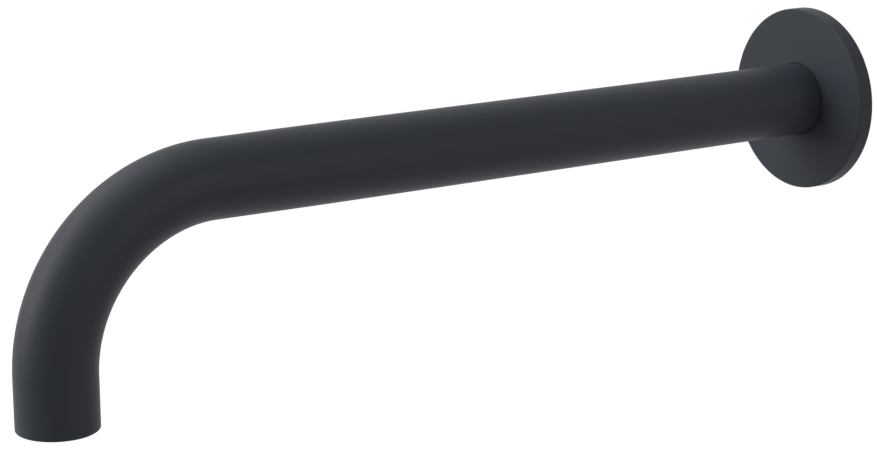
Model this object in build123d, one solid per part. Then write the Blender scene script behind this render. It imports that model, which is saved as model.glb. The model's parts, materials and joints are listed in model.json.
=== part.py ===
from build123d import *

import os
from math import pi, sqrt

# Wall spout, in millimetres. The origin is where the tube's axis meets the finished wall, the plane Y = 0.
# The arm leaves the wall along -Y, and the outlet points down, along -Z.

# Tube
tube_diameter = 22.0
tube_wall = 1.5
reach = 258.0                # wall to the outlet's axis
bend_radius = 46.0           # of the tube's centre line
outlet_straight = 14.0       # plain length below the bend
tube_setback = 2.0           # wall to the tube's end
mouth_round = 0.5            # rounding of the outlet's outer edge

# Wall flange
flange_diameter = 56.0
flange_depth = 5.0
flange_face = 2.0            # thickness behind the front face
flange_rim = 2.4             # thickness of the outer wall
flange_edge = 0.4            # rounding of the front edge
hub_wall = 3.6               # flange's hub around the tube
flange_clearance = 0.1       # flange to tube, on the radius
wall_seal_share = 0.7        # of the hollow between the hub and the outer wall
wall_seal_clearance = 0.2

# Wall nipple, with a pipe thread of the half-inch size that starts at the wall
pipe_thread_diameter = 20.955
pipe_thread_length = 15.0
collar_step = 0.3            # collar inside the tube's outline, on the radius
sleeve_wall = 2.4            # leaves the bore for a 14 mm spigot
key_wall = 3.0               # spigot around the socket's flats, which are 8 mm apart
key_land = 0.1               # socket's flats outside the bore, on the radius
key_depth = 6.5
nipple_chamfer = 0.8

# Positions along the spigot, each counted from the one before it
screw_setback = 4.5          # flange's face to the screw's axis
seal_setback = 5.5           # screw's axis to the rear seal ring
seal_pitch = 4.0             # rear to front seal ring
nose_length = 9.0            # front seal ring to the spigot's end
sleeve_overhang = 0.5        # sleeve past the spigot's end

# Fits
braze_gap = 0.05             # brazed joints, on the radius
slide_clearance = 0.05       # spigot in sleeve, on the radius
thread_clearance = 0.05      # plain cylinders that stand for mating threads, on the radius
seal_play = 0.01             # seated ring to its groove
groove_side_play = 0.25
small_chamfer = 0.3

# Seal rings, as seated
ring_section = 1.6
ring_bulge = 0.3             # corner that the squeeze leaves, of the section

# Grub screw
screw_diameter = 5.0
screw_sink = 0.3             # screw's end below the tube's surface
screw_bite = 0.8             # depth of the cone in the spigot's groove
screw_socket = 2.5           # across the flats
screw_socket_depth = 1.8

# Outlet ring and aerator, counted up from the mouth
outlet_ring_setback = 0.6
aerator_setback = 1.2
outlet_ring_wall = 1.15      # leaves the bore for a 16.5 mm aerator
aerator_wall = 1.1
lip_width = 0.7              # inner lip that carries the grid
lip_height = 0.8
notch_pairs = 3              # key notches across the housing's lower face
notch_width = 1.8
notch_depth = 0.6
grid_height = 2.6
grid_pitch = 1.35            # centre to centre of the honeycomb
grid_web = 0.3               # between two cells
jet_skirt = 1.6              # mixing space under the jet plate
jet_plate_height = 1.4
jet_diameter = 1.1
jet_count = 12
jet_circle = 0.7             # of the skirt's radius
filter_flange = 0.6
filter_skin = 0.5
filter_rise = 2.6
filter_crown = 0.5           # flat top, of the dome's radius
filter_slot_count = 12
filter_slot_share = 0.6      # of the circle at the slots' inner ends
filter_slot_start = 0.25     # of the dome's radius
filter_slot_end = 0.85
washer_height = 1.2
washer_width = 1.9
shoulder_height = 1.4
insert_clearance = 0.05      # aerator's inner pieces in the housing, on the radius

# Sizes that follow from the ones above
tube_radius = tube_diameter / 2
bore_radius = tube_radius - tube_wall
arm_end = reach - bend_radius
outlet_drop = bend_radius + outlet_straight
sleeve_bore = bore_radius - braze_gap - sleeve_wall
spigot_radius = sleeve_bore - slide_clearance
groove_width = ring_section + 2 * groove_side_play
screw_from_wall = flange_depth + screw_setback
rear_seal = screw_from_wall + seal_setback
front_seal = rear_seal + seal_pitch
spigot_end = front_seal + nose_length
sleeve_end = spigot_end + sleeve_overhang
key_radius = spigot_radius - key_wall
key_bore = key_radius - key_land
flange_bore = tube_radius + flange_clearance
hub_radius = flange_bore + hub_wall
housing_radius = bore_radius - braze_gap - outlet_ring_wall - thread_clearance
housing_bore = housing_radius - aerator_wall
insert_radius = housing_bore - insert_clearance
grid_base = aerator_setback + lip_height
jet_base = grid_base + grid_height
filter_base = jet_base + jet_skirt + jet_plate_height
housing_top = filter_base + filter_flange
washer_top = housing_top + washer_height
washer_bore = housing_radius - washer_width
ring_top = washer_top + shoulder_height
filter_dome_radius = washer_bore - 2 * insert_clearance

# Each turned piece is made on the Z axis and set in place by one of these.
at_wall = Rot(90, 0, 0)                                    # Z becomes the distance from the wall
at_outlet = Pos(0, -reach, -outlet_drop)                   # Z becomes the height above the mouth
at_screw = Pos(0, -screw_from_wall, 0) * Rot(180, 0, 0)    # Z becomes the distance below the tube's axis


def turned(*outline):
    """Solid of revolution about Z from (radius, height) corners."""
    profile = make_face(Polyline(*outline, close=True))
    return revolve(Plane.XZ * profile, Axis.Z)


def seal_ring(inner_radius, outer_radius, height):
    """Rubber ring squeezed between two radii, so its section is flat where it bears."""
    inner = inner_radius + seal_play
    outer = outer_radius - seal_play
    half = ring_section / 2
    bulge = ring_section * ring_bulge
    return turned(
        (inner, height - half + bulge),
        (inner + bulge, height - half),
        (outer - bulge, height - half),
        (outer, height - half + bulge),
        (outer, height + half - bulge),
        (outer - bulge, height + half),
        (inner + bulge, height + half),
        (inner, height + half - bulge),
    )


def spread(count, radius):
    """Evenly spaced places on a circle about Z."""
    return PolarLocations(radius, count).locations


def screw_hole(radius):
    """Cutter for the screw's way through the tube and the sleeve."""
    hole = Cylinder(radius, 2 * tube_radius, align=(Align.CENTER, Align.CENTER, Align.MIN))
    return at_screw * hole


def make_spout_tube():
    """Bent tube: one ring section carried along the arm, around the bend and down the drop."""
    path = FilletPolyline(
        (0, -tube_setback, 0),
        (0, -reach, 0),
        (0, -reach, -outlet_drop),
        radius=bend_radius,
    )
    start = Plane(origin=(0, -tube_setback, 0), z_dir=(0, -1, 0))
    outside = sweep(start * Circle(tube_radius), path)
    outside = fillet(outside.edges().sort_by(Axis.Z)[0], mouth_round)
    inside = sweep(start * Circle(bore_radius), path)
    return outside - inside - screw_hole(screw_diameter / 2 + thread_clearance)


def make_inlet_sleeve():
    """Sleeve in the tube's wall end, bored for the spigot and tapped for the screw."""
    outer = bore_radius - braze_gap
    lead = nipple_chamfer
    sleeve = turned(
        (sleeve_bore + lead, tube_setback),
        (outer, tube_setback),
        (outer, sleeve_end),
        (sleeve_bore, sleeve_end),
        (sleeve_bore, tube_setback + lead),
    )
    return at_wall * sleeve - screw_hole(screw_diameter / 2 + thread_clearance)


def make_wall_nipple():
    """Nipple: thread into the wall, collar against the tube, grooved spigot, bore and key socket."""
    thread = pipe_thread_diameter / 2
    collar = tube_radius - collar_step
    seat = sleeve_bore - ring_section
    half = groove_width / 2
    screw_half = screw_diameter / 2
    nipple = turned(
        (key_bore, -pipe_thread_length),
        (thread - nipple_chamfer, -pipe_thread_length),
        (thread, nipple_chamfer - pipe_thread_length),
        (thread, 0),
        (collar, 0),
        (collar, tube_setback),
        (spigot_radius, tube_setback),
        (spigot_radius, screw_from_wall - screw_half),
        (spigot_radius - screw_bite, screw_from_wall - screw_half + screw_bite),
        (spigot_radius - screw_bite, screw_from_wall + screw_half - screw_bite),
        (spigot_radius, screw_from_wall + screw_half),
        (spigot_radius, rear_seal - half),
        (seat, rear_seal - half),
        (seat, rear_seal + half),
        (spigot_radius, rear_seal + half),
        (spigot_radius, front_seal - half),
        (seat, front_seal - half),
        (seat, front_seal + half),
        (spigot_radius, front_seal + half),
        (spigot_radius, spigot_end - nipple_chamfer),
        (spigot_radius - nipple_chamfer, spigot_end),
        (key_bore, spigot_end),
    )
    socket = extrude(RegularPolygon(key_radius, 6, major_radius=False), key_depth)
    return at_wall * (nipple - Pos(0, 0, spigot_end - key_depth) * socket)


def make_nipple_o_ring(height):
    """Seal ring seated between a spigot groove and the sleeve."""
    return at_wall * seal_ring(sleeve_bore - ring_section, sleeve_bore, height)


def make_grub_screw():
    """Screw with a cone point towards the spigot and a hexagon socket in its outer end."""
    radius = screw_diameter / 2
    top = tube_radius - screw_sink
    tip = spigot_radius - screw_bite + seal_play
    flat = radius - 2 * screw_bite
    screw = turned(
        (0, tip),
        (flat, tip),
        (radius, tip + radius - flat),
        (radius, top - small_chamfer),
        (radius - small_chamfer, top),
        (0, top),
    )
    socket = extrude(RegularPolygon(screw_socket / 2, 6, major_radius=False), screw_socket_depth)
    return at_screw * (screw - Pos(0, 0, top - screw_socket_depth) * socket)


def make_wall_flange():
    """Round cover: flat face, outer wall, hollow back and a grooved hub around the tube."""
    outer = flange_diameter / 2
    back = flange_depth - flange_face
    middle = flange_depth / 2
    half = groove_width / 2
    seat = tube_radius + ring_section
    flange = turned(
        (flange_bore, 0),
        (hub_radius, 0),
        (hub_radius, back),
        (outer - flange_rim, back),
        (outer - flange_rim, 0),
        (outer, 0),
        (outer, flange_depth),
        (flange_bore, flange_depth),
        (flange_bore, middle + half),
        (seat, middle + half),
        (seat, middle - half),
        (flange_bore, middle - half),
    )
    front_edge = flange.edges().filter_by(GeomType.CIRCLE).group_by(Axis.Z)[-1].sort_by(SortBy.RADIUS)[-1]
    return at_wall * fillet(front_edge, flange_edge)


def make_flange_o_ring():
    """Seal ring in the flange's hub, seated on the tube."""
    return at_wall * seal_ring(tube_radius, tube_radius + ring_section, flange_depth / 2)


def make_wall_seal():
    """Foam ring behind the flange's face, flush with the wall."""
    outer = flange_diameter / 2 - flange_rim - wall_seal_clearance
    inner = outer - wall_seal_share * (outer - hub_radius)
    back = flange_depth - flange_face
    return at_wall * turned((inner, 0), (outer, 0), (outer, back), (inner, back))


def make_outlet_ring():
    """Ring in the tube's mouth: a threaded bore for the aerator under a seat for its washer."""
    outer = bore_radius - braze_gap
    thread = housing_radius + thread_clearance
    ring = turned(
        (thread, outlet_ring_setback),
        (outer, outlet_ring_setback),
        (outer, ring_top),
        (washer_bore, ring_top),
        (washer_bore, washer_top),
        (thread, washer_top),
    )
    return at_outlet * ring


def make_aerator_body():
    """Housing with an inner lip for the grid and notches for its key."""
    lip_bore = housing_bore - lip_width
    body = turned(
        (lip_bore, aerator_setback),
        (housing_radius - small_chamfer, aerator_setback),
        (housing_radius, aerator_setback + small_chamfer),
        (housing_radius, housing_top),
        (housing_bore, housing_top),
        (housing_bore, grid_base),
        (lip_bore, grid_base),
    )
    notch = Pos(0, 0, aerator_setback) * Box(3 * housing_radius, notch_width, 2 * notch_depth)
    turns = [Rot(0, 0, 180 * k / notch_pairs) for k in range(notch_pairs)]
    return at_outlet * (body - [turn * notch for turn in turns])


def make_aerator_grid():
    """Honeycomb: every hexagonal cell that fits inside the housing's lip."""
    disc = Cylinder(insert_radius, grid_height, align=(Align.CENTER, Align.CENTER, Align.MIN))
    cell = RegularPolygon((grid_pitch - grid_web) / 2, 6, major_radius=False, rotation=30)
    limit = insert_radius - lip_width - grid_pitch / 2
    span = range(-int(2 * limit / grid_pitch), int(2 * limit / grid_pitch) + 1)
    places = [Vector(grid_pitch * (i + j / 2), grid_pitch * j * sqrt(3) / 2) for i in span for j in span]
    cells = [Pos(place) * cell for place in places if place.length < limit]
    honeycomb = disc - extrude(Sketch() + cells, grid_height)
    return at_outlet * Pos(0, 0, grid_base) * honeycomb


def make_aerator_jet_plate():
    """Plate with a ring of jets, standing on a skirt that leaves the mixing space."""
    top = jet_base + jet_skirt + jet_plate_height
    skirt_bore = insert_radius - lip_width
    plate = turned(
        (0, jet_base + jet_skirt),
        (skirt_bore, jet_base + jet_skirt),
        (skirt_bore, jet_base),
        (insert_radius, jet_base),
        (insert_radius, top),
        (0, top),
    )
    jet = Cylinder(jet_diameter / 2, 4 * jet_plate_height)
    jets = [place * jet for place in spread(jet_count, jet_circle * skirt_bore)]
    return at_outlet * (plate - [Pos(0, 0, top) * each for each in jets])


def make_aerator_filter():
    """Domed strainer: a flange held by the washer and a ring of slots in the dome."""
    inner = filter_dome_radius - filter_skin
    dome_top = filter_base + filter_flange + filter_rise
    strainer = turned(
        (inner, filter_base),
        (insert_radius, filter_base),
        (insert_radius, filter_base + filter_flange),
        (filter_dome_radius, filter_base + filter_flange),
        (filter_dome_radius * filter_crown, dome_top),
        (0, dome_top),
        (0, dome_top - filter_skin),
        (inner * filter_crown, dome_top - filter_skin),
    )
    length = (filter_slot_end - filter_slot_start) * inner
    width = filter_slot_share * 2 * pi * filter_slot_start * inner / filter_slot_count
    slot = Pos(0, 0, dome_top) * Box(length, width, 4 * filter_rise)
    middle = (filter_slot_end + filter_slot_start) * inner / 2
    return at_outlet * (strainer - [place * slot for place in spread(filter_slot_count, middle)])


def make_aerator_seal():
    """Flat washer between the housing and the outlet ring's shoulder."""
    outer = housing_radius - insert_clearance
    return at_outlet * turned(
        (washer_bore, housing_top),
        (outer, housing_top),
        (outer, washer_top),
        (washer_bore, washer_top),
    )


pieces = {
    "spout_tube": make_spout_tube(),
    "inlet_sleeve": make_inlet_sleeve(),
    "wall_nipple": make_wall_nipple(),
    "nipple_o_ring_rear": make_nipple_o_ring(rear_seal),
    "nipple_o_ring_front": make_nipple_o_ring(front_seal),
    "grub_screw": make_grub_screw(),
    "wall_flange": make_wall_flange(),
    "flange_o_ring": make_flange_o_ring(),
    "wall_seal": make_wall_seal(),
    "outlet_ring": make_outlet_ring(),
    "aerator_body": make_aerator_body(),
    "aerator_grid": make_aerator_grid(),
    "aerator_jet_plate": make_aerator_jet_plate(),
    "aerator_filter": make_aerator_filter(),
    "aerator_seal": make_aerator_seal(),
}

os.makedirs("parts", exist_ok=True)
for name, piece in pieces.items():
    export_step(piece, f"parts/{name}.step")
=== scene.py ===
"""Looks of a wall spout: a bent tube, its wall flange, the nipple behind it and the aerator in its mouth.

Every piece is built in metres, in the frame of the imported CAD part, and rides on its one body.
"""

import json
import logging
import math
from collections.abc import Callable, Sequence
from dataclasses import dataclass, replace
from enum import Enum

import bmesh
import bpy
import numpy as np
from mathutils import Matrix, Vector
from mathutils.geometry import tessellate_polygon


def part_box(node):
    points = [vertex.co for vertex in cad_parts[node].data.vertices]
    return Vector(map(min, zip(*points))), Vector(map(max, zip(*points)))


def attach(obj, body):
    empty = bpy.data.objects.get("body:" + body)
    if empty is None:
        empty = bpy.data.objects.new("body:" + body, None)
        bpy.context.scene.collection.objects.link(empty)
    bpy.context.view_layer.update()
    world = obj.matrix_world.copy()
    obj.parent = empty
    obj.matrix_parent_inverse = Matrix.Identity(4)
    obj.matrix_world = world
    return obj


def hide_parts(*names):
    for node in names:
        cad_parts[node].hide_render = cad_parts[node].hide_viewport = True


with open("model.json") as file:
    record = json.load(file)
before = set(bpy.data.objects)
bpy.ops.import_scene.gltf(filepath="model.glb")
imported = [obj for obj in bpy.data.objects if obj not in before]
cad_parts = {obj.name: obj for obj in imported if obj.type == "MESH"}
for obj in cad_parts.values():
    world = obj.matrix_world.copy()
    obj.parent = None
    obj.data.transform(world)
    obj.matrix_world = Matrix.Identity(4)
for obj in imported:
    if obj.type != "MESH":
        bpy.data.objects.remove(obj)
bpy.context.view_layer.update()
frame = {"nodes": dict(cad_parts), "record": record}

LOG = logging.getLogger("wall_spout")

MM = 0.001
BODY = "root"
MERGE_DISTANCE = 0.001 * MM
KEYS_PER_MM = 1000
SHARP_ANGLE = math.radians(35)
ROUNDING_FLATS = 4
HEXAGON_SIDES = 6
HEXAGON_STEP = 2 * math.pi / HEXAGON_SIDES
WHITE = (1.0, 1.0, 1.0)

Carry = Callable[[np.ndarray], np.ndarray]
Colour = tuple[float, float, float]


class Slot(Enum):
    """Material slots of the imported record."""

    BLACK_COAT = "black_coat"
    BRASS = "brass"
    RUBBER = "rubber"
    FOAM = "foam"
    SCREW_STEEL = "screw_steel"
    FILTER_STEEL = "filter_steel"
    AERATOR_PLASTIC = "aerator_plastic"
    GRID_PLASTIC = "grid_plastic"


class Form(Enum):
    """Section of a turned ring."""

    ROUND = "round"
    HEXAGON = "hexagon"


@dataclass(frozen=True)
class Corner:
    """Corner of a turned outline.

    Attributes:
        radius: distance from the axis, to the flats where the form is a hexagon.
        height: place along the axis.
        edge: radius that rounds the corner.
        form: section of the ring that the corner makes.
    """

    radius: float
    height: float
    edge: float = 0.0
    form: Form = Form.ROUND


def rounded(corners: Sequence[Corner]) -> list[list[Corner]]:
    """Rounds the corners of a closed outline.

    Args:
        corners: the outline's corners in order.

    Returns:
        for each corner, the points that stand for it.
    """
    result = []
    for index, corner in enumerate(corners):
        if corner.edge <= 0:
            result.append([corner])
            continue
        here, before, after = (
            np.array((c.radius, c.height))
            for c in (corner, corners[index - 1], corners[(index + 1) % len(corners)])
        )
        to_before = (before - here) / np.linalg.norm(before - here)
        to_after = (after - here) / np.linalg.norm(after - here)
        opening = math.acos(float(np.clip(to_before @ to_after, -1, 1)))
        sweep = math.pi - opening
        length = corner.edge / math.tan(opening / 2)
        middle = to_before + to_after
        centre = here + middle / np.linalg.norm(middle) * corner.edge / math.sin(opening / 2)
        first = here + to_before * length - centre
        last = here + to_after * length - centre
        arc = [
            centre + (first * math.sin((1 - t) * sweep) + last * math.sin(t * sweep)) / math.sin(sweep)
            for t in np.linspace(0, 1, ROUNDING_FLATS + 1)
        ]
        result.append([replace(corner, radius=p[0], height=p[1], edge=0.0) for p in arc])
    return result


def ring_section(inner: float, outer: float, low: float, high: float, edge: float) -> list[Corner]:
    """Outline of a plain ring between two radii and two heights, with its four corners rounded."""
    return [Corner(r, h, edge) for r, h in ((inner, low), (outer, low), (outer, high), (inner, high))]


def outer_radius(node: str) -> float:
    """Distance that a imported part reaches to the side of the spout's middle plane."""
    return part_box(node)[1].x


def arm_ends(node: str) -> tuple[float, float]:
    """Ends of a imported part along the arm, as distances from the wall."""
    low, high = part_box(node)
    return -high.y, -low.y


@dataclass(frozen=True)
class TubeLine:
    """The tube's centre line: out from the wall, round the bend and down to the mouth.

    A place on it is a station, the way along the line from the wall. Behind the wall stations are negative.
    """

    reach: float
    drop: float
    bend_radius: float = 46.0 * MM

    @classmethod
    def from_frame(cls) -> "TubeLine":
        """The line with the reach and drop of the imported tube."""
        low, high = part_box("spout_tube")
        return cls(reach=-low.y - high.x, drop=-low.z)

    @property
    def bend_start(self) -> float:
        """Station where the arm ends."""
        return self.reach - self.bend_radius

    @property
    def bend_end(self) -> float:
        """Station where the drop starts."""
        return self.bend_start + self.bend_radius * math.pi / 2

    @property
    def mouth(self) -> float:
        """Station of the tube's open end."""
        return self.bend_end + self.drop - self.bend_radius

    def carry(self, points: np.ndarray) -> np.ndarray:
        """Lays points on the line.

        Args:
            points: rows of side, crown and station; the crown is the outer side of the bend.

        Returns:
            rows of x, y and z.
        """
        side, crown, station = points.T
        turn = np.clip((station - self.bend_start) / self.bend_radius, 0, math.pi / 2)
        arm = np.minimum(station, self.bend_start)
        drop = np.maximum(station - self.bend_end, 0)
        radius = self.bend_radius + crown
        return np.column_stack(
            (side, -arm - radius * np.sin(turn), radius * np.cos(turn) - self.bend_radius - drop)
        )

    def carry_outlet(self, points: np.ndarray) -> np.ndarray:
        """Lays rows of side, crown and height above the mouth on the drop."""
        return self.carry(np.column_stack((points[:, :2], self.mouth - points[:, 2])))


class Skin:
    """Points and faces of one piece, gathered row by row."""

    def __init__(self, carry: Carry) -> None:
        """Starts an empty skin.

        Args:
            carry: sets the piece's points in their place.
        """
        self.carry = carry
        self.points = np.zeros((0, 3))
        self.faces: list[tuple[int, ...]] = []

    def add(self, points: np.ndarray) -> np.ndarray:
        """Adds points.

        Args:
            points: rows in the piece's own directions.

        Returns:
            the numbers of the new points.
        """
        first = len(self.points)
        self.points = np.vstack((self.points, points))
        return np.arange(first, len(self.points))

    def strip(self, row: np.ndarray, beside: np.ndarray, skip: range = range(0)) -> None:
        """Joins two rows round a piece by a band of faces.

        Args:
            row: point numbers of the first row.
            beside: point numbers of the second row, which is as long.
            skip: places in the band that stay open.
        """
        for here in range(len(row)):
            if here not in skip:
                ahead = (here + 1) % len(row)
                self.faces.append((row[here], row[ahead], beside[ahead], beside[here]))

    def make(self, name: str) -> bpy.types.Object:
        """Makes the piece.

        Args:
            name: the piece's name.

        Returns:
            the new object, smooth between its sharp edges.
        """
        mesh = bpy.data.meshes.new(name)
        mesh.from_pydata(self.carry(self.points).tolist(), [], [tuple(map(int, f)) for f in self.faces])
        shape = bmesh.new()
        shape.from_mesh(mesh)
        bmesh.ops.remove_doubles(shape, verts=shape.verts, dist=MERGE_DISTANCE)
        bmesh.ops.recalc_face_normals(shape, faces=shape.faces)
        shape.to_mesh(mesh)
        shape.free()
        mesh.polygons.foreach_set("use_smooth", [True] * len(mesh.polygons))
        mesh.set_sharp_from_angle(angle=SHARP_ANGLE)
        piece = bpy.data.objects.new(name, mesh)
        bpy.context.scene.collection.objects.link(piece)
        shading = piece.modifiers.new("flat_faces", "WEIGHTED_NORMAL")
        shading.keep_sharp = True
        return piece


def spread(count: int) -> np.ndarray:
    """Angles spaced evenly round an axis."""
    return np.arange(count) * 2 * math.pi / count


def around(angles: np.ndarray) -> np.ndarray:
    """Rows of side and crown at these angles, at a distance of 1."""
    return np.column_stack((np.cos(angles), np.sin(angles)))


def raised(flat: np.ndarray, height: np.ndarray | float) -> np.ndarray:
    """Rows of side and crown with their height added."""
    return np.column_stack((flat, np.full(len(flat), height)))


def polar(radii: np.ndarray | float, angles: np.ndarray, height: np.ndarray | float) -> np.ndarray:
    """Rows of side, crown and height at these radii and angles."""
    return raised(around(angles) * np.reshape(radii, (-1, 1)), height)


def ring(corner: Corner, columns: int) -> np.ndarray:
    """Points of one turned ring.

    Args:
        corner: radius, height and form of the ring.
        columns: points round the axis.

    Returns:
        rows of side, crown and height.
    """
    angles = spread(columns)
    radii = np.full(columns, corner.radius)
    if corner.form is Form.HEXAGON:
        radii = radii / np.cos(angles % HEXAGON_STEP - HEXAGON_STEP / 2)
    return polar(radii, angles, corner.height)


def joined(name: str, carry: Carry, rows: Sequence[np.ndarray]) -> bpy.types.Object:
    """Makes a piece from closed rows of points, each joined to the next and the last to the first.

    Args:
        name: the piece's name.
        carry: sets the piece in its place.
        rows: points of each row, the same number in every row.

    Returns:
        the new object.
    """
    skin = Skin(carry)
    numbers = [skin.add(row) for row in rows]
    for row, beside in zip(numbers, numbers[1:] + numbers[:1]):
        skin.strip(row, beside)
    return skin.make(name)


def turned(name: str, carry: Carry, corners: Sequence[Corner], columns: int) -> bpy.types.Object:
    """Makes a piece by turning a closed outline, with so many points round its axis."""
    return joined(name, carry, [ring(c, columns) for arc in rounded(corners) for c in arc])


@dataclass(frozen=True)
class Thread:
    """Rounded screw thread on a cylinder.

    Attributes:
        radius: crest radius.
        pitch: distance between turns.
        depth: crest to root.
        start: height where the cut starts.
        end: height where it has run out.
        lead: chamfer at the start, on the radius.
        run_out: length over which the cut fades at the end.
        roundness: 0 for straight flanks to a sharp crest, 1 for a plain wave.
        steps: rings in one turn.
    """

    radius: float
    pitch: float
    depth: float
    start: float
    end: float
    lead: float
    run_out: float
    roundness: float = 0.08
    steps: int = 20

    def rings(self, columns: int) -> list[np.ndarray]:
        """Rings from the start to the end of the cut.

        Args:
            columns: points round the axis.

        Returns:
            rows of side, crown and height for each ring.
        """
        angles = spread(columns)
        count = math.ceil((self.end - self.start) / self.pitch * self.steps)
        bend = 1 - self.roundness
        made = []
        for height in np.linspace(self.start, self.end, count + 1):
            wave = np.cos(2 * math.pi * height / self.pitch - angles)
            share = 0.5 - np.arcsin(bend * wave) / math.asin(bend) / 2
            fade = min(1.0, (self.end - height) / self.run_out)
            limit = self.radius - max(0.0, self.lead - (height - self.start))
            made.append(polar(np.minimum(self.radius - self.depth * fade * share, limit), angles, height))
        return made


class Signal:
    """Output of a shader node that takes part in expressions; each operator adds a Math node."""

    def __init__(self, graph: "Graph", socket: bpy.types.NodeSocket) -> None:
        """Wraps a socket of the graph."""
        self.graph = graph
        self.socket = socket

    def math(self, operation: str, *values: "Value") -> "Signal":
        """Adds a Math node with these inputs in order, and gives back its result."""
        return self.graph.node("ShaderNodeMath", {"operation": operation}, dict(enumerate(values)))

    def __add__(self, other: "Value") -> "Signal":
        """Sum."""
        return self.math("ADD", self, other)

    def __sub__(self, other: "Value") -> "Signal":
        """Difference."""
        return self.math("SUBTRACT", self, other)

    def __rsub__(self, other: "Value") -> "Signal":
        """Difference from a number on the left."""
        return self.math("SUBTRACT", other, self)

    def __mul__(self, other: "Value") -> "Signal":
        """Product."""
        return self.math("MULTIPLY", self, other)

    __radd__ = __add__
    __rmul__ = __mul__

    def clamped(self) -> "Signal":
        """The value held between 0 and 1."""
        return self.math("MINIMUM", self.math("MAXIMUM", self, 0.0), 1.0)

    def larger(self, other: "Value") -> "Signal":
        """The larger of two values."""
        return self.math("MAXIMUM", self, other)


Value = Signal | float | tuple[float, ...]
Sockets = dict[str | int, Value]


@dataclass(frozen=True)
class Layer:
    """One layer of soft noise on a surface.

    Attributes:
        size: width of its largest spots, in metres.
        detail: number of finer layers in it.
        fineness: share of those.
        stretch: factor on the place along each axis.
    """

    size: float
    detail: float = 2.0
    fineness: float = 0.5
    stretch: tuple[float, float, float] = (1.0, 1.0, 1.0)


class Graph:
    """Shader nodes of one material or of the world."""

    def __init__(self, tree: bpy.types.NodeTree) -> None:
        """Clears the tree."""
        self.tree = tree
        tree.nodes.clear()

    @classmethod
    def of_material(cls, name: str) -> tuple["Graph", bpy.types.Material]:
        """Starts a material.

        Args:
            name: the material's name.

        Returns:
            the graph and the material.
        """
        material = bpy.data.materials.new(name)
        material.use_nodes = True
        return cls(material.node_tree), material

    def node(
        self,
        kind: str,
        settings: dict[str, object] | None = None,
        inputs: Sockets | None = None,
        output: str | int = 0,
    ) -> Signal:
        """Adds a node.

        Args:
            kind: the node's type.
            settings: its properties, set first.
            inputs: values or links of its sockets, by name or number.
            output: the socket to give back.

        Returns:
            that output; a node without outputs gives back its first input.
        """
        node = self.tree.nodes.new(kind)
        for key, setting in (settings or {}).items():
            setattr(node, key, setting)
        for key, value in (inputs or {}).items():
            socket = self.pick(node.inputs, key)
            if isinstance(value, Signal):
                self.tree.links.new(value.socket, socket)
            elif isinstance(value, tuple) and len(value) == 3 and socket.type == "RGBA":
                socket.default_value = (*value, 1.0)
            else:
                socket.default_value = value
        return Signal(self, self.pick(node.outputs, output) if node.outputs else node.inputs[0])

    @staticmethod
    def pick(sockets: Sequence[bpy.types.NodeSocket], key: str | int) -> bpy.types.NodeSocket:
        """Finds the socket of that number, or the one in use that has that name."""
        named = (socket for socket in sockets if socket.name == key and socket.enabled)
        return sockets[key] if isinstance(key, int) else next(named)

    def place(self, stretch: tuple[float, float, float] = (1.0, 1.0, 1.0)) -> Signal:
        """Place on the piece in metres, times a factor along each axis."""
        here = self.node("ShaderNodeTexCoord", output="Object")
        return self.node("ShaderNodeVectorMath", {"operation": "MULTIPLY"}, {0: here, 1: stretch})

    def noise(self, layer: Layer) -> Signal:
        """Soft noise of that kind, with values round one half."""
        inputs = {
            "Vector": self.place(layer.stretch),
            "Scale": 1 / layer.size,
            "Detail": layer.detail,
            "Roughness": layer.fineness,
        }
        return self.node("ShaderNodeTexNoise", {"normalize": True}, inputs, "Fac")

    def pores(self, size: float) -> Signal:
        """Distance from the centres of packed cells, 0 at each centre, for cells of that size."""
        inputs = {"Vector": self.place(), "Scale": 1 / size, "Randomness": 1.0}
        return self.node("ShaderNodeTexVoronoi", {"feature": "F1"}, inputs, "Distance")

    def blend(self, share: Value, first: Colour, second: Colour) -> Signal:
        """Linear colour between two, from the first at a share of 0 to the second at 1."""
        inputs = {"Factor": share, "A": first, "B": second}
        return self.node("ShaderNodeMix", {"data_type": "RGBA", "clamp_factor": True}, inputs, "Result")

    def relief(self, height: Value, depth: float, strength: float = 1.0) -> Signal:
        """Normal of a surface with heights of 0 to 1, which are 0 to depth metres in truth."""
        return self.node("ShaderNodeBump", None, {"Height": height, "Distance": depth, "Strength": strength})


@dataclass(frozen=True)
class Finish:
    """A finish of the spout; each kind says what its surface is like."""

    name: str

    def sockets(self, graph: Graph) -> Sockets:
        """Inputs of the finish's Principled surface, with the nodes behind them."""
        raise NotImplementedError

    def make(self) -> bpy.types.Material:
        """Builds the finish.

        Returns:
            the new material.
        """
        graph, material = Graph.of_material(self.name)
        shader = graph.node("ShaderNodeBsdfPrincipled", None, self.sockets(graph))
        graph.node("ShaderNodeOutputMaterial", None, {"Surface": shader})
        return material


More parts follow.
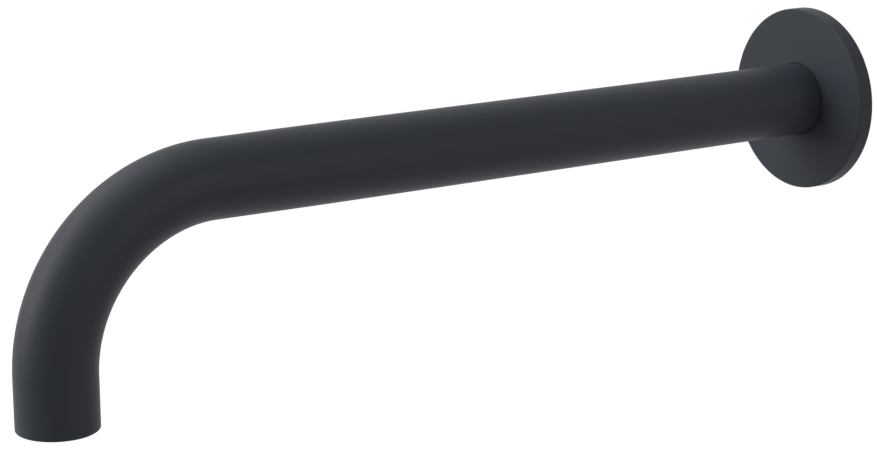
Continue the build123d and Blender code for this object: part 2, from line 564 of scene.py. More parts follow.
@dataclass(frozen=True)
class BlackCoat(Finish):
    """Sprayed black coat, satin, with a fine orange peel."""

    name: str = "satin_black_coat"
    deep: Colour = (0.0212, 0.0243, 0.0308)
    lean: Colour = (0.0252, 0.0286, 0.0356)
    cloud: Layer = Layer(24.0 * MM)
    cloud_share: float = 0.7
    peel: Layer = Layer(1.4 * MM, detail=1.0)
    peel_depth: float = 0.006 * MM
    grain: Layer = Layer(0.22 * MM)
    grain_depth: float = 0.0015 * MM
    sheen: float = 0.50
    sheen_spread: float = 0.06
    specular: float = 0.11

    def sockets(self, graph: Graph) -> Sockets:
        """Clouds and grain in the colour and the sheen, peel and grain in the relief.

        Args:
            graph: the finish's nodes.

        Returns:
            the inputs.
        """
        cloud, peel, grain = (graph.noise(layer) for layer in (self.cloud, self.peel, self.grain))
        mottle = cloud * self.cloud_share + grain * (1 - self.cloud_share)
        return {
            "Base Color": graph.blend(mottle, self.deep, self.lean),
            "Roughness": self.sheen + self.sheen_spread * (cloud + grain - 1.0),
            "Specular IOR Level": self.specular,
            "Normal": graph.relief(peel + grain * (self.grain_depth / self.peel_depth), self.peel_depth),
        }


@dataclass(frozen=True)
class TurnedBrass(Finish):
    """Bare brass from the lathe, with turning marks round its axis and a little tarnish."""

    name: str = "turned_brass"
    bright: Colour = (0.66, 0.47, 0.22)
    dull: Colour = (0.44, 0.30, 0.13)
    marks: Layer = Layer(0.16 * MM, 3.0, 0.6, (0.02, 1.0, 0.02))
    mark_depth: float = 0.003 * MM
    mark_strength: float = 0.8
    tarnish: Layer = Layer(5.0 * MM, 4.0, 0.6)
    tarnish_contrast: float = 1.6
    tarnish_start: float = 0.4
    tarnish_share: float = 0.7
    polish: float = 0.24
    polish_spread: float = 0.18

    def sockets(self, graph: Graph) -> Sockets:
        """Tarnish in the colour, tarnish and marks in the polish, marks in the relief.

        Args:
            graph: the finish's nodes.

        Returns:
            the inputs.
        """
        marks, tarnish = graph.noise(self.marks), graph.noise(self.tarnish)
        worn = tarnish * self.tarnish_share + marks * (1 - self.tarnish_share)
        stain = tarnish * self.tarnish_contrast - self.tarnish_start
        return {
            "Base Color": graph.blend(stain, self.bright, self.dull),
            "Metallic": 1.0,
            "Roughness": self.polish + self.polish_spread * worn,
            "Normal": graph.relief(marks, self.mark_depth, self.mark_strength),
        }


@dataclass(frozen=True)
class SealFoam(Finish):
    """Closed-cell foam with cut cells on its faces, the hollow of each cut cell painted darker as shade."""

    name: str = "seal_foam"
    wall: Colour = (0.075, 0.076, 0.079)
    # painted shade: colour laid into the hollows of the cut cells
    pore_shade: Colour = (0.020, 0.020, 0.021)
    cell_size: float = 0.55 * MM
    cell_depth: float = 0.16 * MM
    cell_contrast: float = 1.7
    # share of the painted shade of the cells' hollows in the colour
    pore_shade_share: float = 0.8
    cell_strength: float = 0.8
    patch: Layer = Layer(4.0 * MM)
    patch_share: float = 0.4
    darkening: float = 0.1
    dullness: float = 0.8
    dull_spread: float = 0.1
    specular: float = 0.25

    def sockets(self, graph: Graph) -> Sockets:
        """Painted shade in the cells' hollows and patches in the colour, patches in the dullness, cells in
        the relief.

        Args:
            graph: the finish's nodes.

        Returns:
            the inputs.
        """
        # the cell mask is 0 at each cell's centre; in the colour it paints shade into the hollows, in the
        # relief it gives the cells their real depth
        rim = (graph.pores(self.cell_size) * self.cell_contrast).clamped()
        patch = graph.noise(self.patch)
        pale = (rim * self.pore_shade_share + patch * self.patch_share - self.darkening).clamped()
        return {
            "Base Color": graph.blend(pale, self.pore_shade, self.wall),
            "Roughness": self.dullness + self.dull_spread * patch,
            "Specular IOR Level": self.specular,
            "Normal": graph.relief(rim, self.cell_depth, self.cell_strength),
        }


@dataclass(frozen=True)
class FineGrain(Finish):
    """Patchy surface with a fine grain, for rubber, steel with working marks and moulded plastic."""

    first: Colour
    second: Colour
    patch: Layer
    grain: Layer
    grain_depth: float
    dullness: float
    dull_spread: float
    dull_grain: bool = False
    metallic: float = 0.0
    specular: float = 0.5

    def sockets(self, graph: Graph) -> Sockets:
        """Patches in the colour, patches or grain in the dullness, grain in the relief.

        Args:
            graph: the finish's nodes.

        Returns:
            the inputs.
        """
        patch, grain = graph.noise(self.patch), graph.noise(self.grain)
        return {
            "Base Color": graph.blend(patch, self.first, self.second),
            "Metallic": self.metallic,
            "Roughness": self.dullness + self.dull_spread * (grain if self.dull_grain else patch),
            "Specular IOR Level": self.specular,
            "Normal": graph.relief(grain, self.grain_depth),
        }


SEAL_RUBBER = FineGrain(
    name="seal_rubber",
    first=(0.012, 0.012, 0.013),
    second=(0.030, 0.030, 0.031),
    patch=Layer(1.5 * MM, 4.0, 0.6),
    grain=Layer(0.12 * MM),
    grain_depth=0.004 * MM,
    dullness=0.55,
    dull_spread=0.2,
    specular=0.4,
)
BLACKENED_STEEL = FineGrain(
    name="blackened_steel",
    first=(0.13, 0.13, 0.14),
    second=(0.07, 0.07, 0.075),
    patch=Layer(1.2 * MM, 3.0),
    grain=Layer(0.10 * MM, stretch=(1.0, 1.0, 0.1)),
    grain_depth=0.002 * MM,
    dullness=0.32,
    dull_spread=0.15,
    metallic=1.0,
)
STRAINER_STEEL = replace(
    BLACKENED_STEEL,
    name="strainer_steel",
    first=(0.60, 0.60, 0.61),
    second=(0.48, 0.48, 0.49),
    dullness=0.26,
)
HOUSING_PLASTIC = FineGrain(
    name="housing_plastic",
    first=(0.022, 0.023, 0.025),
    second=(0.036, 0.037, 0.040),
    patch=Layer(2.5 * MM),
    grain=Layer(0.09 * MM, detail=1.0),
    grain_depth=0.003 * MM,
    dullness=0.36,
    dull_spread=0.12,
    dull_grain=True,
    specular=0.45,
)
GRID_PLASTIC = replace(
    HOUSING_PLASTIC,
    name="grid_plastic",
    first=(0.13, 0.14, 0.15),
    second=(0.19, 0.20, 0.21),
    dullness=0.32,
)


class Finishes:
    """Each record slot's material, made once."""

    def __init__(self) -> None:
        """Makes every finish."""
        finishes = {
            Slot.BLACK_COAT: BlackCoat(),
            Slot.BRASS: TurnedBrass(),
            Slot.RUBBER: SEAL_RUBBER,
            Slot.FOAM: SealFoam(),
            Slot.SCREW_STEEL: BLACKENED_STEEL,
            Slot.FILTER_STEEL: STRAINER_STEEL,
            Slot.AERATOR_PLASTIC: HOUSING_PLASTIC,
            Slot.GRID_PLASTIC: GRID_PLASTIC,
        }
        self.materials = {slot: finish.make() for slot, finish in finishes.items()}

    def dress(self, piece: bpy.types.Object, slot: Slot, *nodes: str) -> None:
        """Finishes a new piece and sets it on the body.

        Args:
            piece: the new piece.
            slot: the record's slot that its finish comes from.
            nodes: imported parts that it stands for.
        """
        piece.data.materials.append(self.materials[slot])
        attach(piece, BODY)
        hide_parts(*nodes)
        LOG.info("%s: %d faces for %s", piece.name, len(piece.data.polygons), ", ".join(nodes))

    def dress_node(self, node: str, slot: Slot) -> None:
        """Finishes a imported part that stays.

        Args:
            node: the part's name.
            slot: the record's slot that its finish comes from.
        """
        for place in frame["nodes"][node].material_slots:
            place.material = self.materials[slot]
        LOG.info("%s: packed part with %s", node, self.materials[slot].name)


@dataclass
class BentTube:
    """The spout's tube: two skins along the line, a rounded mouth and the screw's hole underneath."""

    line: TubeLine
    wall: float = 1.5 * MM
    mouth_edge: float = 0.5 * MM
    bore_edge: float = 0.25 * MM
    end_edge: float = 0.2 * MM
    hole_radius: float = 2.55 * MM
    hole_edge: float = 0.2 * MM
    flattening: float = 0.02
    flattening_length: float = 26.0 * MM
    flattening_offset: float = 6.0 * MM
    columns: int = 160
    window: int = 20
    window_shares: tuple[float, ...] = (0.75, 0.5, 0.3, 0.12, 0.0)
    arm_step: float = 5.0 * MM
    bend_step: float = 1.2 * MM

    def __post_init__(self) -> None:
        """Reads the tube's section and the hole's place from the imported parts."""
        self.radius = outer_radius("spout_tube")
        self.bore = self.radius - self.wall
        self.start = arm_ends("spout_tube")[0]
        self.hole_station = sum(arm_ends("grub_screw")) / 2
        half, underside = self.window // 2, self.columns * 3 // 4
        self.opening = range(underside - half, underside + half)
        self.half_length = half * (self.radius * 2 * math.pi / self.columns)

    def stations(self) -> np.ndarray:
        """Spaces the rings between the tube's two ends.

        Returns:
            their stations, close together at the hole and in the bend.
        """
        hole = self.hole_station + np.linspace(-self.half_length, self.half_length, self.window + 1)
        arm = np.arange(hole[-1] + self.arm_step, self.line.bend_start - self.bend_step, self.arm_step)
        count = round((self.line.mouth - self.line.bend_start) / self.bend_step)
        bend = np.linspace(self.line.bend_start, self.line.mouth - 2 * self.mouth_edge, count)
        return np.concatenate((hole, arm, bend))

    def squeezed(self, points: np.ndarray) -> np.ndarray:
        """Flattens the section a little where the bend starts, as tube bending does.

        Args:
            points: rows of side, crown and station.

        Returns:
            rows of x, y and z.
        """
        middle = self.line.bend_start + self.flattening_offset
        share = self.flattening * np.exp(-(((points[:, 2] - middle) / self.flattening_length) ** 2))
        narrow = np.column_stack((np.ones_like(share), 1 - share, np.ones_like(share)))
        return self.line.carry(points * narrow)

    def build(self) -> bpy.types.Object:
        """Builds the tube.

        Returns:
            the new object.
        """
        skin = Skin(self.squeezed)
        corners = [
            Corner(self.radius, self.start, self.end_edge),
            Corner(self.radius, self.line.mouth, self.mouth_edge),
            Corner(self.bore, self.line.mouth, self.bore_edge),
            Corner(self.bore, self.start, self.end_edge),
        ]
        arcs = [[skin.add(ring(c, self.columns)) for c in arc] for arc in rounded(corners)]
        outer, inner = (
            [skin.add(ring(Corner(radius, s), self.columns)) for s in self.stations()]
            for radius in (self.radius, self.bore)
        )
        rows = arcs[0] + outer + arcs[1] + arcs[2] + inner[::-1] + arcs[3]
        open_rows = {int(row[0]) for row in (*outer[: self.window], *inner[1 : self.window + 1])}
        for row, beside in zip(rows, rows[1:] + rows[:1]):
            skin.strip(row, beside, self.opening if int(row[0]) in open_rows else range(0))
        self.pierce(skin, outer, inner)
        return skin.make("bent_tube")

    def pierce(self, skin: Skin, outer: list[np.ndarray], inner: list[np.ndarray]) -> None:
        """Fills the two windows round the screw's hole and joins them through the wall.

        Args:
            skin: the tube's skin.
            outer: rows of the outer skin, of which the first ones edge the window.
            inner: rows of the inner skin.
        """
        ends = []
        for rows, radius, inward in ((outer, self.radius, 1), (inner, self.bore, -1)):
            rim = self.window_rim(rows)
            flat = skin.points[rim][:, (2, 0)] - (self.hole_station, 0.0)
            unit = around(np.arctan2(flat[:, 1], flat[:, 0]))
            edge = unit * (self.hole_radius + self.hole_edge)
            previous = rim
            for share in self.window_shares:
                row = skin.add(self.on_underside(edge + share * (flat - edge), radius))
                skin.strip(previous, row)
                previous = row
            lip = skin.add(self.on_underside(unit * self.hole_radius, radius, inward * self.hole_edge))
            skin.strip(previous, lip)
            ends.append(lip)
        skin.strip(*ends)

    def window_rim(self, rows: list[np.ndarray]) -> np.ndarray:
        """Goes round the window in a skin.

        Args:
            rows: the skin's rows.

        Returns:
            point numbers in order.
        """
        first, last = self.opening.start, self.opening.stop
        sides = (
            rows[0][first:last],
            [row[last] for row in rows[: self.window]],
            rows[self.window][last:first:-1],
            [row[first] for row in rows[self.window : 0 : -1]],
        )
        return np.concatenate(sides)

    def on_underside(self, flat: np.ndarray, radius: float, sink: float = 0.0) -> np.ndarray:
        """Lays rows of the way along and across from the hole's axis under a skin, sunk into the wall."""
        crown = sink - np.sqrt(radius**2 - flat[:, 1] ** 2)
        return np.column_stack((flat[:, 1], crown, flat[:, 0] + self.hole_station))

    def dress(self, finishes: Finishes) -> None:
        """Builds the tube and finishes it."""
        finishes.dress(self.build(), Slot.BLACK_COAT, "spout_tube")


@dataclass
class WallFlange:
    """Round cover on the wall: plate and hub, the ring that grips the tube and the foam ring behind it."""

    line: TubeLine
    face: float = 2.0 * MM
    rim: float = 2.4 * MM
    hub_wall: float = 3.6 * MM
    clearance: float = 0.1 * MM
    front_edge: float = 0.45 * MM
    small_edge: float = 0.2 * MM
    hollow_edge: float = 0.5 * MM
    groove_width: float = 2.1 * MM
    groove_depth: float = 1.5 * MM
    ring_edge: float = 0.5 * MM
    foam_share: float = 0.7
    foam_edge: float = 0.35 * MM
    columns: int = 192

    def __post_init__(self) -> None:
        """Reads the flange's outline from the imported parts."""
        self.outer = outer_radius("wall_flange")
        self.depth = arm_ends("wall_flange")[1]
        self.back = self.depth - self.face
        self.tube_radius = outer_radius("spout_tube")
        self.bore = self.tube_radius + self.clearance
        self.hub = self.bore + self.hub_wall

    def cover(self) -> list[Corner]:
        """Draws the plate with its outer wall and grooved hub.

        Returns:
            the outline's corners.
        """
        inside = self.outer - self.rim
        middle = self.depth / 2
        half = self.groove_width / 2
        seat = self.bore + self.groove_depth
        return [
            Corner(self.bore, 0, self.small_edge),
            Corner(self.hub, 0, self.small_edge),
            Corner(self.hub, self.back, self.hollow_edge),
            Corner(inside, self.back, self.hollow_edge),
            Corner(inside, 0, self.small_edge),
            Corner(self.outer, 0, self.small_edge),
            Corner(self.outer, self.depth, self.front_edge),
            Corner(self.bore, self.depth, self.small_edge),
            Corner(self.bore, middle + half),
            Corner(seat, middle + half, self.small_edge),
            Corner(seat, middle - half, self.small_edge),
            Corner(self.bore, middle - half),
        ]

    def tube_ring(self) -> list[Corner]:
        """Outline of the rubber ring in the hub's groove."""
        ends = arm_ends("flange_o_ring")
        return ring_section(self.tube_radius, outer_radius("flange_o_ring"), *ends, self.ring_edge)

    def foam(self) -> list[Corner]:
        """Draws the foam ring that bears on the wall.

        Returns:
            the outline's corners.
        """
        outer = outer_radius("wall_seal")
        inner = outer - self.foam_share * (outer - self.hub)
        return ring_section(inner, outer, 0.0, self.back, self.foam_edge)

    def dress(self, finishes: Finishes) -> None:
        """Turns the flange's pieces and finishes them.

        Args:
            finishes: the spout's finishes.
        """
        for name, corners, slot, node in (
            ("flange_cover", self.cover(), Slot.BLACK_COAT, "wall_flange"),
            ("flange_ring", self.tube_ring(), Slot.RUBBER, "flange_o_ring"),
            ("foam_ring", self.foam(), Slot.FOAM, "wall_seal"),
        ):
            finishes.dress(turned(name, self.line.carry, corners, self.columns), slot, node)


@dataclass
class WallNipple:
    """Brass nipple: pipe thread into the wall, collar, grooved spigot with two rings, bore and key socket."""

    line: TubeLine
    pitch: float = 1.814 * MM
    thread_depth: float = 1.16 * MM
    lead: float = 0.8 * MM
    bore: float = 3.9 * MM
    key_radius: float = 4.0 * MM
    key_depth: float = 6.5 * MM
    screw_bite: float = 0.8 * MM
    screw_radius: float = 2.5 * MM
    ring_depth: float = 1.55 * MM
    ring_side_play: float = 0.25 * MM
    ring_play: float = 0.01 * MM
    ring_edge: float = 0.5 * MM
    small_edge: float = 0.15 * MM
    slide_clearance: float = 0.05 * MM
    spigot_lead: float = 0.8 * MM
    columns: int = 144

    def __post_init__(self) -> None:
        """Reads the nipple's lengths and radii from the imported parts."""
        self.thread_end, self.spigot_end = arm_ends("wall_nipple")
        self.collar = outer_radius("wall_nipple")
        self.collar_top = arm_ends("spout_tube")[0]
        self.spigot = outer_radius("nipple_o_ring_rear") + self.ring_play - self.slide_clearance
        self.screw = sum(arm_ends("grub_screw")) / 2
        self.rings = {node: arm_ends(node) for node in ("nipple_o_ring_rear", "nipple_o_ring_front")}

    def build_nipple(self) -> bpy.types.Object:
        """Builds the nipple.

        Returns:
            the new object.
        """
        thread = Thread(
            radius=self.thread_radius(),
            pitch=self.pitch,
            depth=self.thread_depth,
            start=self.thread_end,
            end=0.0,
            lead=self.lead,
            run_out=self.pitch,
        )
        arcs = rounded(self.outline())
        rows = [ring(arcs[0][-1], self.columns), *thread.rings(self.columns)]
        rows += [ring(c, self.columns) for arc in arcs[2:] for c in arc]
        return joined("threaded_nipple", self.line.carry, rows)

    def thread_radius(self) -> float:
        """Crest radius of the pipe thread, as the record's mount states it."""
        mounts = {mount["name"]: mount for mount in frame["record"]["mounts"]}
        return mounts["wall_thread"]["dims"]["r_mm"] * MM

    def outline(self) -> list[Corner]:
        """Draws the nipple.

        Returns:
            the outline's corners, of which the second one marks where the thread goes.
        """
        bite = self.screw_bite
        edge = self.small_edge
        seat = self.spigot - self.ring_depth
        floor = self.spigot_end - self.key_depth
        corners = [
            Corner(self.bore, self.thread_end),
            Corner(self.thread_radius(), 0.0),
            Corner(self.collar, 0.0, edge),
            Corner(self.collar, self.collar_top, edge),
            Corner(self.spigot, self.collar_top),
            Corner(self.spigot, self.screw - self.screw_radius),
            Corner(self.spigot - bite, self.screw - self.screw_radius + bite),
            Corner(self.spigot - bite, self.screw + self.screw_radius - bite),
            Corner(self.spigot, self.screw + self.screw_radius),
        ]
        for low, high in self.rings.values():
            start, end = low - self.ring_side_play, high + self.ring_side_play
            groove = ((self.spigot, start), (seat, start), (seat, end), (self.spigot, end))
            corners += [Corner(radius, height, edge) for radius, height in groove]
        return corners + [
            Corner(self.spigot, self.spigot_end - self.spigot_lead, edge),
            Corner(self.spigot - self.spigot_lead, self.spigot_end, edge),
            Corner(self.key_radius, self.spigot_end, form=Form.HEXAGON),
            Corner(self.key_radius, floor, form=Form.HEXAGON),
            Corner(self.bore, floor),
        ]

    def dress(self, finishes: Finishes) -> None:
        """Builds the nipple and its rings and finishes them, with the sleeve that stays as packed.

        Args:
            finishes: the spout's finishes.
        """
        finishes.dress(self.build_nipple(), Slot.BRASS, "wall_nipple")
        finishes.dress_node("inlet_sleeve", Slot.BRASS)
        inner = self.spigot - self.ring_depth + self.ring_play
        outer = self.spigot + self.slide_clearance - self.ring_play
        for node, (low, high) in self.rings.items():
            corners = ring_section(inner, outer, low, high, self.ring_edge)
            name = node.replace("nipple_o_ring", "spigot_ring")
            finishes.dress(turned(name, self.line.carry, corners, self.columns), Slot.RUBBER, node)


@dataclass
class GrubScrew:
    """Screw under the tube: cone point, thread and a hexagon socket that faces down."""

    pitch: float = 0.8 * MM
    thread_depth: float = 0.4 * MM
    thread_steps: int = 16
    point_radius: float = 0.9 * MM
    chamfer: float = 0.35 * MM
    socket_radius: float = 1.25 * MM
    socket_lead: float = 0.18 * MM
    socket_depth: float = 1.8 * MM
    drill_depth: float = 0.5 * MM
    columns: int = 72

    def __post_init__(self) -> None:
        """Reads the screw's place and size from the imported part."""
        low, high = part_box("grub_screw")
        self.station = sum(arm_ends("grub_screw")) / 2
        self.radius = high.x
        self.tip = -high.z
        self.top = -low.z

    def carry(self, points: np.ndarray) -> np.ndarray:
        """Turns rows of side, way along the tube and distance below its axis into x, y and z."""
        side, along, below = points.T
        return np.column_stack((side, -self.station - along, -below))

    def build(self) -> bpy.types.Object:
        """Builds the screw.

        Returns:
            the new object.
        """
        thread = Thread(
            radius=self.radius,
            pitch=self.pitch,
            depth=self.thread_depth,
            start=self.tip + self.radius - self.point_radius,
            end=self.top - self.chamfer,
            lead=0.0,
            run_out=self.pitch / 4,
            steps=self.thread_steps,
        )
        floor = self.top - self.socket_depth
        lead = self.socket_lead
        point = [Corner(0.0, self.tip), Corner(self.point_radius, self.tip)]
        head = [
            Corner(self.radius - self.chamfer, self.top),
            Corner(self.socket_radius + lead, self.top, form=Form.HEXAGON),
            Corner(self.socket_radius, self.top - lead, form=Form.HEXAGON),
            Corner(self.socket_radius, floor, form=Form.HEXAGON),
            Corner(0.0, floor - self.drill_depth),
        ]
        rows = [
            *(ring(c, self.columns) for c in point),
            *thread.rings(self.columns),
            *(ring(c, self.columns) for c in head),
        ]
        return joined("socket_screw", self.carry, rows)

    def dress(self, finishes: Finishes) -> None:
        """Builds the screw and finishes it."""
        finishes.dress(self.build(), Slot.SCREW_STEEL, "grub_screw")


@dataclass
class Outlet:
    """The mouth: its ring in the tube and the aerator that is screwed into it."""

    line: TubeLine
    ring_bore: float = 8.3 * MM
    seat_bore: float = 6.35 * MM
    seat_height: float = 1.4 * MM
    ring_edge: float = 0.2 * MM
    housing_wall: float = 1.1 * MM
    lip_width: float = 0.7 * MM
    lip_height: float = 0.8 * MM
    housing_edge: float = 0.3 * MM
    lip_edge: float = 0.15 * MM
    notch_count: int = 6
    notch_width: float = 1.8 * MM
    notch_depth: float = 0.6 * MM
    notch_slope: float = 0.06
    notch_points: int = 5
    land_points: int = 10
    cell_pitch: float = 1.35 * MM
    cell_web: float = 0.3 * MM
    cell_edge: float = 0.06 * MM
    rim_columns: int = 96
    columns: int = 144

    def heights(self, node: str) -> tuple[float, float]:
        """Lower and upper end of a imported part, above the mouth."""
        low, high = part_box(node)
        return low.z + self.line.drop, high.z + self.line.drop

    def build_ring(self) -> bpy.types.Object:
        """Builds the ring in the tube's mouth, with the shoulder that the washer seats on.

        Returns:
            the new object.
        """
        low, high = self.heights("outlet_ring")
        outer = outer_radius("outlet_ring")
        shoulder = high - self.seat_height
        corners = [
            Corner(self.ring_bore, low, self.ring_edge),
            Corner(outer, low, self.ring_edge),
            Corner(outer, high, self.ring_edge),
            Corner(self.seat_bore, high, self.ring_edge),
            Corner(self.seat_bore, shoulder, self.ring_edge),
            Corner(self.ring_bore, shoulder),
        ]
        return turned("mouth_ring", self.line.carry_outlet, corners, self.columns)

    def notch_columns(self, radius: float) -> tuple[np.ndarray, np.ndarray]:
        """Spaces points round the housing, close together at the sides of its notches.

        Args:
            radius: radius that the notches, which have parallel sides, are crossed at.

        Returns:
            the angles, and for each of them whether it lies in a notch.
        """
        half = math.asin(self.notch_width / 2 / radius)
        spacing = 2 * math.pi / self.notch_count
        notch = np.linspace(-1, 1, self.notch_points)
        land = np.linspace(1 + self.notch_slope, spacing / half - 1 - self.notch_slope, self.land_points)
        shares = np.concatenate((notch, land))
        angles = np.concatenate([shares * half + k * spacing for k in range(self.notch_count)])
        return angles, np.tile(np.abs(shares) <= 1, self.notch_count)

    def build_housing(self) -> bpy.types.Object:
        """Builds the aerator's housing, with the notches that its key fits.

        Returns:
            the new object.
        """
        low, high = self.heights("aerator_body")
        outer = outer_radius("aerator_body")
        bore = outer - self.housing_wall
        lip = bore - self.lip_width
        floor = low + self.lip_height
        corners = [
            Corner(lip, low, self.lip_edge),
            Corner(outer, low, self.housing_edge),
            Corner(outer, high, self.lip_edge),
            Corner(bore, high, self.lip_edge),
            Corner(bore, floor),
            Corner(lip, floor, self.lip_edge),
        ]
        rows = []
        for corner in (c for arc in rounded(corners) for c in arc):
            angles, inside = self.notch_columns(corner.radius)
            height = np.where(inside, max(corner.height, low + self.notch_depth), corner.height)
            rows.append(polar(corner.radius, angles, height))
        return joined("aerator_housing", self.line.carry_outlet, rows)

    def cells(self, limit: float) -> np.ndarray:
        """Sets out the honeycomb.

        Args:
            limit: radius that the centres of all cells lie inside.

        Returns:
            rows of side and crown of the centres.
        """
        span = range(-int(2 * limit / self.cell_pitch), int(2 * limit / self.cell_pitch) + 1)
        rise = math.sqrt(3) / 2
        places = [(self.cell_pitch * (i + j / 2), self.cell_pitch * j * rise) for i in span for j in span]
        return np.array([p for p in places if math.hypot(*p) < limit])

    def build_honeycomb(self) -> bpy.types.Object:
        """Builds the grid: six-sided cells with eased edges in a plain round rim.

        Returns:
            the new object.
        """
        low, high = self.heights("aerator_grid")
        outer = outer_radius("aerator_grid")
        skin = Skin(self.line.carry_outlet)
        corners = around(HEXAGON_STEP / 2 + spread(HEXAGON_SIDES)) / math.cos(HEXAGON_STEP / 2)
        cell = (self.cell_pitch - self.cell_web) / 2
        steps = [
            (self.cell_pitch / 2, high),
            (cell + self.cell_edge, high),
            (cell, high - self.cell_edge),
            (cell, low + self.cell_edge),
            (cell + self.cell_edge, low),
            (self.cell_pitch / 2, low),
        ]
        centres = self.cells(outer - self.lip_width - self.cell_pitch / 2)
        for centre in centres:
            rows = [skin.add(raised(centre + corners * size, height)) for size, height in steps]
            for row, beside in zip(rows, rows[1:]):
                skin.strip(row, beside)
        edge = self.outer_edge(centres, corners * self.cell_pitch / 2)
        skin.strip(*(self.fill_rim(skin, edge, outer, height) for height in (high, low)))
        return skin.make("aerator_honeycomb")

    def outer_edge(self, centres: np.ndarray, corners: np.ndarray) -> np.ndarray:
        """Follows the sides that only one cell has, from side to side.

        Args:
            centres: the cells' centres.
            corners: corners of one cell about its centre.

        Returns:
            rows of side and crown, in order.
        """
        sides: dict[tuple[tuple[int, ...], tuple[int, ...]], np.ndarray] = {}
        for centre in centres:
            points = centre + corners
            keys = [tuple(int(v) for v in np.round(p / MM * KEYS_PER_MM)) for p in points]
            for here, after, point in zip(keys, keys[1:] + keys[:1], points):
                if sides.pop((after, here), None) is None:
                    sides[here, after] = point
        ahead = {here: (after, point) for (here, after), point in sides.items()}
        start = here = next(iter(ahead))
        outline = []
        while not outline or here != start:
            here, point = ahead[here]
            outline.append(point)
        return np.array(outline)

    def fill_rim(self, skin: Skin, edge: np.ndarray, radius: float, height: float) -> np.ndarray:
        """Fills one face of the grid's rim.

        Args:
            skin: the grid's skin.
            edge: outline round the cells.
            radius: radius of the rim.
            height: height of the face.

        Returns:
            point numbers of the rim's circle.
        """
        circle, hole = ring(Corner(radius, height), self.rim_columns), raised(edge, height)
        numbers = np.concatenate((skin.add(circle), skin.add(hole)))
        for face in tessellate_polygon([[Vector(p) for p in circle], [Vector(p) for p in hole]]):
            skin.faces.append(tuple(numbers[list(face)]))
        return numbers[: self.rim_columns]

    def dress(self, finishes: Finishes) -> None:
        """Builds the outlet's pieces and finishes them, with the inner parts that stay as packed.

        Args:
            finishes: the spout's finishes.
        """
        finishes.dress(self.build_ring(), Slot.BLACK_COAT, "outlet_ring")
        finishes.dress(self.build_housing(), Slot.AERATOR_PLASTIC, "aerator_body")
        finishes.dress(self.build_honeycomb(), Slot.GRID_PLASTIC, "aerator_grid")
        finishes.dress_node("aerator_jet_plate", Slot.GRID_PLASTIC)
        finishes.dress_node("aerator_filter", Slot.FILTER_STEEL)
        finishes.dress_node("aerator_seal", Slot.RUBBER)


def direction(azimuth: float, elevation: float) -> Vector:
    """Unit vector from the spout, by degrees from the wall's front towards +X and above the horizon."""
    turn, rise = math.radians(azimuth), math.radians(elevation)
    return Vector((math.sin(turn) * math.cos(rise), -math.cos(turn) * math.cos(rise), math.sin(rise)))


@dataclass(frozen=True)
class SoftBox:
    """Square area lamp that looks at the spout.

    Attributes:
        name: the lamp's name.
        azimuth: direction it stands in, in degrees, 0 in front of the wall and 90 to the camera's side.
        elevation: degrees above the spout.
        distance: from the spout's middle.
        size: side of the lit face.
        power: in watts.
    """

    name: str
    azimuth: float
    elevation: float
    distance: float
    size: float
    power: float

    def build(self, aim: Vector) -> None:
        """Sets the lamp up.

        Args:
            aim: point that it looks at.
        """
        data = bpy.data.lights.new(self.name, "AREA")
        data.size = self.size
        data.energy = self.power
        lamp = bpy.data.objects.new(self.name, data)
        bpy.context.scene.collection.objects.link(lamp)
        lamp.location = aim + direction(self.azimuth, self.elevation) * self.distance
        lamp.rotation_euler = (aim - lamp.location).to_track_quat("-Z", "Y").to_euler()


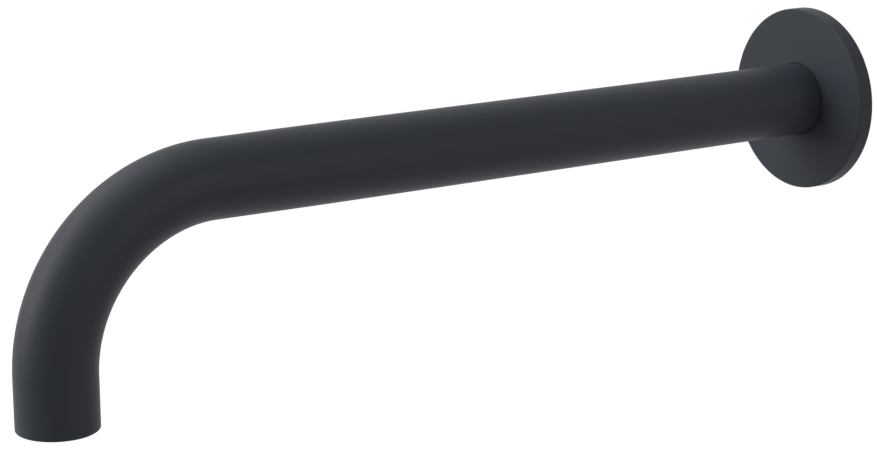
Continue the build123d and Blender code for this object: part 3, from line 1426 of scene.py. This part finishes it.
@dataclass(frozen=True)
class Studio:
    """Pale floor, white surroundings, soft lamps and the camera of the photograph."""

    aim: tuple[float, float, float] = (0.0, -127.6 * MM, 0.0)
    azimuth: float = 55.84
    elevation: float = 13.64
    distance: float = 636.26 * MM
    shift_right: float = -10.17 * MM
    shift_up: float = -23.34 * MM
    lens: float = 92.58
    sensor: float = 36.0
    nearest: float = 10 * MM
    farthest: float = 100.0
    floor_drop: float = 1.7
    floor_size: float = 30.0
    floor_cloud: Layer = Layer(0.4)
    floor_shades: tuple[Colour, Colour] = ((0.86, 0.86, 0.86), (0.90, 0.90, 0.90))
    seen_shade: Colour = (0.35, 0.35, 0.35)
    seen_glow: float = 0.97
    ambient: float = 0.15
    lamps: tuple[SoftBox, ...] = (
        SoftBox("key_box", -28.0, 20.0, 2.6, 2.0, 82.0),
        SoftBox("left_box", -60.0, 50.0, 2.6, 2.0, 41.0),
        SoftBox("right_box", 104.0, 16.0, 1.3, 1.0, 7.5),
        SoftBox("top_box", 20.0, 80.0, 2.6, 2.0, 20.0),
    )

    def build_camera(self) -> None:
        """Sets the camera at the photograph's viewing angle."""
        back = direction(self.azimuth, self.elevation)
        right = Vector((0.0, 0.0, 1.0)).cross(back).normalized()
        up = back.cross(right)
        data = bpy.data.cameras.new("photo_camera")
        data.lens = self.lens
        data.sensor_width = self.sensor
        data.clip_start = self.nearest
        data.clip_end = self.farthest
        camera = bpy.data.objects.new("photo_camera", data)
        bpy.context.scene.collection.objects.link(camera)
        place = Vector(self.aim) + right * self.shift_right + up * self.shift_up + back * self.distance
        turn = Matrix((right, up, back)).transposed().to_4x4()
        camera.matrix_world = Matrix.Translation(place) @ turn
        bpy.context.scene.camera = camera

    def build_world(self) -> None:
        """Lights the scene evenly and shows white behind the spout and in its reflections."""
        world = bpy.data.worlds.new("white_room")
        world.use_nodes = True
        bpy.context.scene.world = world
        graph = Graph(world.node_tree)
        light, white = (
            graph.node("ShaderNodeBackground", None, {"Color": WHITE, "Strength": strength})
            for strength in (self.ambient, 1.0)
        )
        mixed = graph.node("ShaderNodeMixShader", None, {0: self.seen_directly(graph), 1: light, 2: white})
        graph.node("ShaderNodeOutputWorld", None, {"Surface": mixed})

    @staticmethod
    def seen_directly(graph: Graph) -> Signal:
        """Tells what the camera sees, also in a gloss or through glass, from light on its way.

        Args:
            graph: the nodes that it goes into.

        Returns:
            1 for what is seen, 0 for the rest.
        """
        rays = ("Is Camera Ray", "Is Glossy Ray", "Is Transmission Ray")
        camera, glossy, through = (graph.node("ShaderNodeLightPath", output=ray) for ray in rays)
        return camera.larger(glossy).larger(through)

    def build_floor(self) -> None:
        """Lays the pale floor, which shows white where no shadow falls."""
        half = self.floor_size / 2
        corners = np.array([(-half, -half), (half, -half), (half, half), (-half, half)])
        skin = Skin(lambda points: points)
        skin.faces.append(tuple(skin.add(raised(corners, -self.floor_drop))))
        floor = skin.make("pale_floor")
        graph, material = Graph.of_material("pale_floor")
        shade = graph.blend(graph.noise(self.floor_cloud), *self.floor_shades)
        matt = graph.node("ShaderNodeBsdfDiffuse", None, {"Color": shade})
        dim = graph.node("ShaderNodeBsdfDiffuse", None, {"Color": self.seen_shade})
        glow = graph.node("ShaderNodeEmission", None, {"Color": WHITE, "Strength": self.seen_glow})
        seen = graph.node("ShaderNodeAddShader", None, {0: dim, 1: glow})
        mixed = graph.node("ShaderNodeMixShader", None, {0: self.seen_directly(graph), 1: matt, 2: seen})
        graph.node("ShaderNodeOutputMaterial", None, {"Surface": mixed})
        floor.data.materials.append(material)

    def build(self) -> None:
        """Sets up the floor, the world, the lamps and the camera."""
        bpy.context.scene.view_settings.view_transform = "Standard"
        self.build_floor()
        self.build_world()
        for lamp in self.lamps:
            lamp.build(Vector(self.aim))
        self.build_camera()


def main() -> None:
    """Builds the spout's pieces and the studio."""
    logging.basicConfig(level=logging.INFO, format="%(name)s: %(message)s")
    line = TubeLine.from_frame()
    finishes = Finishes()
    for assembly in (BentTube(line), WallFlange(line), WallNipple(line), GrubScrew(), Outlet(line)):
        assembly.dress(finishes)
    Studio().build()


if __name__ == "__main__":
    main()
